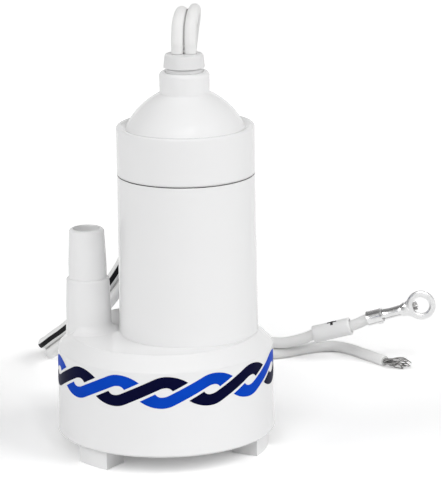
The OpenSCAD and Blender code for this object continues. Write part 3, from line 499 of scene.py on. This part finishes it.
# Barrel and grip: the share of their radius
BARREL = [(7.3, 1.0), (7.9, 0.985), (8.6, 0.97), (9.4, 0.965), (10.2, 0.97), (10.9, 0.99), (11.5, 1.03),
          (11.8, 1.09)]
GRIP = [(12.4, 1.05), (12.65, 1.01), (13.2, 0.995), (14.1, 0.99), (15.3, 0.99), (16.3, 0.995), (17.0, 1.01),
        (17.3, 1.05)]
# Bridge between the two: its radius. Lug: its width.
BRIDGE = [(11.4, BARREL_R * 1.03), (11.9, 1.6), (12.3, 1.9), (12.7, GRIP_R * 1.01)]
LUG = [(12.9, 0.8), (13.1, 1.5), (13.7, 1.7), (14.3, 1.5), (14.5, 0.8)]

# Strands of the positive core over the ring: places along the wire, with their height over the sheet and
# their fanning out, and the ranges that their ends are drawn from
ENDS_COUNT, ENDS_PITCH, ENDS_R = 8, 0.28, 0.17
ENDS_SEED, ENDS_STEPS, ENDS_SIDES = 11, 5, 8
ENDS_ROUTE = [(11.4, 0.1, 0.8), (9.0, 0.15, 1), (6.8, 0.35, 1), (5.2, 0.62, 1.05)]
ENDS_STOP, ENDS_STOP_LIFT, ENDS_STOP_SIDE = (0.9, 1.8), (0.62, 0.97), (-0.15, 0.15)
ENDS_MID_LIFT, ENDS_MID_FAN, ENDS_STOP_FAN = (0.66, 0.76), 1.1, 1.2


def rolled(x, width, thick, bend, lift, turn):
    """Outline of a sheet across the wire at x, bent by an angle, its middle lifted along the ring's axis."""
    out = []
    for face in (1, -1):
        side = face * thick / 2
        for k in range(SHEET_STEPS + 1):
            u = face * (k / SHEET_STEPS - 0.5)
            y, z = side, u * width
            if abs(bend) > NO_BEND:
                radius = width / bend
                y = radius - (radius - side) * math.cos(u * bend)
                z = (radius - side) * math.sin(u * bend)
            y += lift
            out.append(Vector((x, y * math.cos(turn) - z * math.sin(turn),
                               y * math.sin(turn) + z * math.cos(turn))))
    return out


def terminal_sheet():
    """The rolled parts: neck and barrel in one, the grip on the insulation, the bridge and the lug."""
    barrel_w, grip_w = BARREL_R * BARREL_BEND, GRIP_R * GRIP_BEND
    neck = [rolled(*row[:5], CRIMP_TURN * row[5]) for row in NECK]
    barrel = [rolled(x, barrel_w * s, BARREL_T, BARREL_BEND, -BARREL_R * s, CRIMP_TURN) for x, s in BARREL]
    grip = [rolled(x, grip_w * s, SHEET_T, GRIP_BEND, -GRIP_R * s, CRIMP_TURN) for x, s in GRIP]
    bridge = [rolled(x, BRIDGE_W, SHEET_T, BRIDGE_W / r, -r, CRIMP_TURN) for x, r in BRIDGE]
    lug = [rolled(x, w, LUG_T, w / LUG_R, -LUG_R, LUG_TURN) for x, w in LUG]
    return [neck + barrel, grip, bridge, lug]


def ring_points():
    """The flat ring, with a chamfer on its four edges."""
    inner, outer, flat = RING_HOLE_R + RING_CHAMFER, RING_R - RING_CHAMFER, RING_HALF - RING_CHAMFER
    profile = [(inner, -RING_HALF), (outer, -RING_HALF), (RING_R, -flat), (RING_R, flat),
               (outer, RING_HALF), (inner, RING_HALF), (RING_HOLE_R, flat), (RING_HOLE_R, -flat)]
    points = []
    for k in range(RING_TURNS):
        t = 2 * math.pi * k / RING_TURNS
        points += [Vector((r * math.cos(t), y, r * math.sin(t))) for r, y in profile]
    return points, len(profile)


def strand_ends():
    """Strands of the positive core, which come out of the barrel and end over the ring."""
    rng = random.Random(ENDS_SEED)
    parts = []
    for k in range(ENDS_COUNT):
        side = (k - (ENDS_COUNT - 1) / 2) * ENDS_PITCH
        stop = rng.uniform(*ENDS_STOP)
        middle = (stop + ENDS_ROUTE[-1][0]) / 2
        line = [(x, lift, side * fan) for x, lift, fan in ENDS_ROUTE]
        line.append((middle, rng.uniform(*ENDS_MID_LIFT), side * ENDS_MID_FAN))
        line.append((stop, rng.uniform(*ENDS_STOP_LIFT), side * ENDS_STOP_FAN + rng.uniform(*ENDS_STOP_SIDE)))
        parts.append(tube(spline(line, ENDS_STEPS), ENDS_R, ENDS_SIDES))
    return parts


def add_terminal():
    points, faces = gather(terminal_sheet())
    ring, count = ring_points()
    faces += turned_faces(RING_TURNS, count, len(points))
    points += ring
    ends, end_faces = gather(strand_ends(), len(points))
    picks = [0] * len(faces) + [1] * len(end_faces)
    turn = (Matrix.Rotation(RING_TURN, 3, "Z") @ Matrix.Rotation(RING_TILT, 3, "Y")
            @ Matrix.Scale(-1, 3, (0, 1, 0)))
    points = [RING_CENTRE + turn @ p for p in points + ends]
    faces = [tuple(reversed(f)) for f in faces + end_faces]
    piece = make_piece("ring_crimp", points, faces, [tinned, strand_tin_shaded], picks)
    shade = piece.modifiers.new("edges", "EDGE_SPLIT")
    shade.split_angle = EDGE_ANGLE
    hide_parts("ring_terminal")
    return piece


# Marker sleeve, with a plus sign printed on its upper side

SLEEVE_LONG = (SLEEVE_TO - SLEEVE_FROM).length
SLEEVE_WAY = (SLEEVE_TO - SLEEVE_FROM).normalized()
SLEEVE_SIDE = SLEEVE_WAY.cross(UP).normalized()
SLEEVE_RISE = SLEEVE_SIDE.cross(SLEEVE_WAY)
SLEEVE_R, SLEEVE_BORE_R, SLEEVE_WAIST = 2.75, 2.0, 0.02
SLEEVE_TURNS, SLEEVE_STEPS, BORE_STEPS = 48, 12, 6

# Run and radius of the rounded lip at each end of the sleeve, from the bore outwards
SLEEVE_LIP = [(0.25, SLEEVE_BORE_R), (0.06, 2.1), (0, 2.35), (0.05, 2.58), (0.25, 2.73)]
MARK_AT, MARK_TURN = SLEEVE_LONG * 0.55, math.radians(80)
MARK_HALF, MARK_BAR, MARK_LIFT, MARK_STEPS = 1.5, 0.42, 0.015, 10


def on_sleeve(run, radius, turn):
    return (SLEEVE_FROM + SLEEVE_WAY * run
            + (SLEEVE_SIDE * math.cos(turn) + SLEEVE_RISE * math.sin(turn)) * radius)


def add_sleeve():
    profile = list(SLEEVE_LIP)
    for k in range(1, SLEEVE_STEPS):
        waist = SLEEVE_WAIST * math.sin(math.pi * k / SLEEVE_STEPS)
        profile.append((SLEEVE_LONG * k / SLEEVE_STEPS, SLEEVE_R - waist))
    profile += [(SLEEVE_LONG - run, r) for run, r in reversed(SLEEVE_LIP)]
    profile += [(SLEEVE_LONG * k / BORE_STEPS, SLEEVE_BORE_R) for k in range(BORE_STEPS - 1, 0, -1)]
    points = []
    for k in range(SLEEVE_TURNS):
        points += [on_sleeve(run, r, 2 * math.pi * k / SLEEVE_TURNS) for run, r in profile]
    faces = [(a, d, c, b) for a, b, c, d in turned_faces(SLEEVE_TURNS, len(profile))]
    piece = make_piece("marker_sleeve", points, faces, [sleeve_white])
    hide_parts("polarity_sleeve")
    return piece


def add_sleeve_mark():
    """The plus sign: one bar round the sleeve and a stub on each side of it."""
    bars = ((-MARK_BAR, MARK_BAR, -MARK_HALF, MARK_HALF), (-MARK_HALF, -MARK_BAR, -MARK_BAR, MARK_BAR),
            (MARK_BAR, MARK_HALF, -MARK_BAR, MARK_BAR))
    points, faces = [], []
    for left, right, low, high in bars:
        start = len(points)
        for k in range(MARK_STEPS + 1):
            turn = MARK_TURN + (low + (high - low) * k / MARK_STEPS) / SLEEVE_R
            points += [on_sleeve(MARK_AT + run, SLEEVE_R + MARK_LIFT, turn) for run in (left, right)]
        for a in range(start, start + 2 * MARK_STEPS, 2):
            faces.append((a, a + 1, a + 3, a + 2))
    piece = make_piece("sleeve_mark", points, faces, [mark_black])
    return piece


# Bare strands of the negative core, twisted and a little frayed

# Rings of strands: the number of the ring, its count and its radius
STRAND_RINGS = ((0, 1, 0.0), (1, 5, 0.36), (2, 9, 0.72))
STRAND_R, STRAND_TIP_R, STRAND_STEPS, STRAND_SIDES = 0.19, 0.15, 20, 7
STRAND_HIDDEN, STRAND_FLOOR = 1.0, 0.22

# Ranges that each strand is drawn from, in the order of the draws: its length, how far its turn drifts, how
# far it swells out, where its waves start and how far its tip flares
STRAND_SEED = 5
STRAND_LONG, STRAND_DRIFT, STRAND_SWELL = (6.1, 7.9), (-0.9, 0.9), (0.5, 1.4)
STRAND_WAVE, STRAND_FLARE = (0, 6), (0, 0.4)

# The twist in radians a millimetre, the waves' height and rate, the shares of a strand over which it swells
# and flares, and the way that the bundle bends to, over a length and by a share
STRAND_TWIST, WAVE_BY, WAVE_RATE = 0.30, 0.2, 1.3
SWELL_RUN, FLARE_RUN = (0, 0.65), (0.6, 1)
STRAND_BEND, BEND_RUN, BEND_SHARE = Vector((0.865, -0.50, 0.0)), (0.5, 5), 0.9


def add_strands():
    """Rings of strands that start inside the core, twist about its end and open towards their tips."""
    start = Vector(NEGATIVE[-1])
    way = (start - Vector(NEGATIVE[-2])).normalized()
    side = way.cross(UP)
    rng = random.Random(STRAND_SEED)
    parts = []
    for ring, count, radius in STRAND_RINGS:
        for k in range(count):
            first = 2 * math.pi * (k + 0.5 * ring) / count
            long = rng.uniform(*STRAND_LONG)
            drift = rng.uniform(*STRAND_DRIFT)
            swell = rng.uniform(*STRAND_SWELL)
            wave = rng.uniform(*STRAND_WAVE)
            flare = rng.uniform(*STRAND_FLARE)
            line = []
            for n in range(STRAND_STEPS + 1):
                s = -STRAND_HIDDEN + (long + STRAND_HIDDEN) * n / STRAND_STEPS
                run = max(s, 0) / long
                t = first + STRAND_TWIST * max(s, 0) + drift * run * run
                t += WAVE_BY * run * math.sin(s * WAVE_RATE + wave)
                r = radius * (1 + swell * eased(run, *SWELL_RUN)) + flare * eased(run, *FLARE_RUN) * ring
                along = way * s + (STRAND_BEND - way) * (s * eased(s, *BEND_RUN) * BEND_SHARE)
                p = start + along + (side * math.cos(t) + UP * math.sin(t)) * r
                p.z = max(p.z, STRAND_FLOOR)
                line.append(p)
            parts.append(tube(line, [STRAND_R] * STRAND_STEPS + [STRAND_TIP_R], STRAND_SIDES))
    points, faces = gather(parts)
    piece = make_piece("strand_bundle", points, faces, [strand_tin_shaded])
    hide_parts("bare_strands")
    return piece


# Leads inside the cap, from the motor's terminals up to the gland

INNER_R, INNER_STEPS, INNER_SIDES = 1.6, 6, 16
TAG_TOP, TAG_REACH = 88.75, 10.01

# Route of a lead: its share of the way across to its passage in the gland, its reach to the front or back
# and its height
INNER_ROUTE = [
    (0, TAG_REACH, TAG_TOP), (0, TAG_REACH, TAG_TOP + 0.7), (0, TAG_REACH, TAG_TOP + 1.4),
    (0.25, TAG_REACH - 1, TAG_TOP + 2.8), (0.5, TAG_REACH / 2, 92.1), (1, 1.2, 94.5),
    (1, 0, 96.7), (1, 0, 107.8), (1, 0, GLAND_TOP),
]


def add_inner_leads():
    parts = []
    for side in (-1, 1):
        route = [(AXIS_X - side * HALF_PITCH * share, side * reach, z) for share, reach, z in INNER_ROUTE]
        parts.append(tube(spline(route, INNER_STEPS), INNER_R, INNER_SIDES))
    points, faces = gather(parts)
    piece = make_piece("inner_wires", points, faces, [flex_white])
    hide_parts("inner_leads")


terminal = add_terminal()
sleeve = add_sleeve()
sleeve_mark = add_sleeve_mark()
strands = add_strands()
add_inner_leads()
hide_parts("twin_lead", "positive_leg")
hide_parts("twin_lead", "negative_leg")


# Printed band: a two-strand rope twist round the base, each stroke a bent S under the next one

BASE_R, BASE_LOW, BASE_H, BASE_DRAFT = 31, 5.7, 24.3, 0.4
BAND_Z, BAND_R, BAND_LIFT = 24.47, 30.69, 0.03
STROKES, STROKE_STEPS = 14, 4
RISE_STEPS, FALL_STEPS, SLOPE_STEPS = 8, 10, 6
FIRST_STROKE_DEG = -12.96

# One stroke about its middle: its lean, the place and height of its crest on the upper and lower edge,
# the radii before and after the crest on each, and where its point and its inner corner are
LEAN_DEG, CREST_X, CREST_TOP, CREST_LOW = 25.5, 7.6, 4.55, 1.35
TOP_R, POINT_R, LOW_R, CORNER_R = 7.85, 10.4, 4.66, 2.0
POINT_X, CORNER_X = 13.68, 9.31


def arc(centre, radius, start, stop, steps):
    points = [on_circle(radius, start + (stop - start) * k / steps) for k in range(steps + 1)]
    return [(centre[0] + x, centre[1] + z) for x, z in points]


def crest(height, before_r, after_r, stop_x):
    """An edge over its crest, from the slope of the stroke to where it stops."""
    stop = 90 - math.degrees(math.asin((stop_x - CREST_X) / after_r))
    before = arc((CREST_X, height - before_r), before_r, 90 + LEAN_DEG, 90, RISE_STEPS)
    return before + arc((CREST_X, height - after_r), after_r, 90, stop, FALL_STEPS)[1:]


def straight(a, b):
    shares = [k / SLOPE_STEPS for k in range(1, SLOPE_STEPS)]
    return [(a[0] + (b[0] - a[0]) * s, a[1] + (b[1] - a[1]) * s) for s in shares]


def rope_stroke():
    """Upper and lower edge of one stroke about its middle, from its left end to its right end."""
    top = crest(CREST_TOP, TOP_R, POINT_R, POINT_X)
    low = crest(CREST_LOW, LOW_R, CORNER_R, CORNER_X)
    left_top = [(-x, -z) for x, z in reversed(low)]
    left_low = [(-x, -z) for x, z in reversed(top)]
    upper = left_top + straight(left_top[-1], top[0]) + top
    lower = left_low + straight(left_low[-1], low[0]) + low
    return upper, lower


def on_base(along, rise, stroke):
    """A point of the print, at a run along the base's wall and a rise, both from the stroke's middle."""
    z = BAND_Z + rise
    r = BASE_R - BASE_DRAFT * (z - BASE_LOW) / BASE_H + BAND_LIFT
    t = math.radians(FIRST_STROKE_DEG + stroke * 360 / STROKES) + along / BAND_R
    return r * math.sin(t), -r * math.cos(t), z


def add_band():
    upper, lower = rope_stroke()
    row = STROKE_STEPS + 1
    for name, material, begin in (("band_navy", print_navy, 0), ("band_blue", print_blue, 1)):
        points, faces = [], []
        for stroke in range(begin, STROKES, 2):
            start = len(points)
            for (xa, za), (xb, zb) in zip(upper, lower):
                for k in range(row):
                    share = k / STROKE_STEPS
                    points.append(on_base(xa + (xb - xa) * share, za + (zb - za) * share, stroke))
            for i in range(len(upper) - 1):
                for a in range(start + i * row, start + i * row + STROKE_STEPS):
                    faces.append((a, a + 1, a + row + 1, a + row))
        band = make_piece(name, points, faces, [material])


add_band()


# Floor, light and background

FLOOR_HALF, FLOOR_Z = 6000, -0.05
FLOOR_ROUGH, FLOOR_CLEAR = 0.7, 0.15

# The floor's grey for light that it sends on, its grey as it is seen, and its own glow as it is seen
FLOOR_BOUNCE, FLOOR_SEEN, FLOOR_GLOW = 0.93, 1.21, 0.09


def add_floor():
    corners = [(-1, -1), (1, -1), (1, 1), (-1, 1)]
    mesh = bpy.data.meshes.new("floor")
    mesh.from_pydata([Vector((x * FLOOR_HALF, y * FLOOR_HALF, FLOOR_Z)) * MM for x, y in corners], [],
                     [(0, 1, 2, 3)])
    floor = bpy.data.objects.new("floor", mesh)
    bpy.context.scene.collection.objects.link(floor)
    material, tree, shader = nodes_of("floor_pale")
    colour = add(tree, "ShaderNodeMix", {"data_type": "RGBA"})
    colour.inputs["A"].default_value = (FLOOR_BOUNCE, FLOOR_BOUNCE, FLOOR_BOUNCE, 1)
    colour.inputs["B"].default_value = (FLOOR_SEEN, FLOOR_SEEN, FLOOR_SEEN, 1)
    tree.links.new(colour.outputs["Result"], shader.inputs["Base Color"])
    shader.inputs["Roughness"].default_value = FLOOR_ROUGH
    shader.inputs["Specular IOR Level"].default_value = FLOOR_CLEAR
    shader.inputs["Emission Color"].default_value = (1, 1, 1, 1)
    seen = seen_rays(tree)
    lift = add(tree, "ShaderNodeMath", {"operation": "MULTIPLY"})
    lift.inputs[1].default_value = FLOOR_GLOW
    tree.links.new(seen, lift.inputs[0])
    tree.links.new(seen, colour.inputs["Factor"])
    tree.links.new(lift.outputs[0], shader.inputs["Emission Strength"])
    mesh.materials.append(material)


def seen_rays(tree):
    """1 for the camera's own rays and those that metal or glass sends on, and 0 for light."""
    rays = add(tree, "ShaderNodeLightPath")
    both = add(tree, "ShaderNodeMath", {"operation": "MAXIMUM"})
    every = add(tree, "ShaderNodeMath", {"operation": "MAXIMUM"})
    tree.links.new(rays.outputs["Is Camera Ray"], both.inputs[0])
    tree.links.new(rays.outputs["Is Glossy Ray"], both.inputs[1])
    tree.links.new(both.outputs[0], every.inputs[0])
    tree.links.new(rays.outputs["Is Transmission Ray"], every.inputs[1])
    return every.outputs[0]


def add_world(level):
    """Even light all round. Mirrors see a white room with a darker ceiling."""
    world = bpy.data.worlds.new("studio")
    bpy.context.scene.world = world
    world.use_nodes = True
    tree = world.node_tree
    sky = tree.nodes["Background"]
    mix = add(tree, "ShaderNodeMix", {"data_type": "RGBA"})
    mix.inputs["A"].default_value = (level, level, level, 1)
    place = add(tree, "ShaderNodeTexCoord")
    split = add(tree, "ShaderNodeSeparateXYZ")
    ceiling = add(tree, "ShaderNodeMapRange", From_Min=0.15, From_Max=0.8, To_Min=1.0, To_Max=0.2)
    tree.links.new(place.outputs["Generated"], split.inputs["Vector"])
    tree.links.new(split.outputs["Z"], ceiling.inputs["Value"])
    tree.links.new(ceiling.outputs["Result"], mix.inputs["B"])
    tree.links.new(seen_rays(tree), mix.inputs["Factor"])
    tree.links.new(mix.outputs["Result"], sky.inputs["Color"])


def add_sun(name, strength, spread_deg, azimuth, height, glints=True):
    """A lamp far away. azimuth is in degrees from the front, to the right, and height in degrees above
    the floor. With glints, glossy surfaces show it."""
    data = bpy.data.lights.new(name, "SUN")
    data.energy = strength
    data.angle = math.radians(spread_deg)
    a, h = math.radians(azimuth), math.radians(height)
    towards = Vector((math.sin(a) * math.cos(h), -math.cos(a) * math.cos(h), math.sin(h)))
    lamp = bpy.data.objects.new(name, data)
    lamp.visible_glossy = glints
    lamp.rotation_euler = towards.to_track_quat("Z", "Y").to_euler()
    bpy.context.scene.collection.objects.link(lamp)


add_floor()
add_world(0.13)
add_sun("left_lamp", 0.82, 40, -75, 35, glints=False)
add_sun("front_lamp", 1.03, 40, -12, 35)
add_sun("key_lamp", 0.22, 5, 20, 52)
add_sun("right_lamp", 1.42, 40, 65, 35, glints=False)
add_sun("back_lamp", 0.17, 90, 180, 45)
bpy.context.scene.view_settings.view_transform = "Standard"
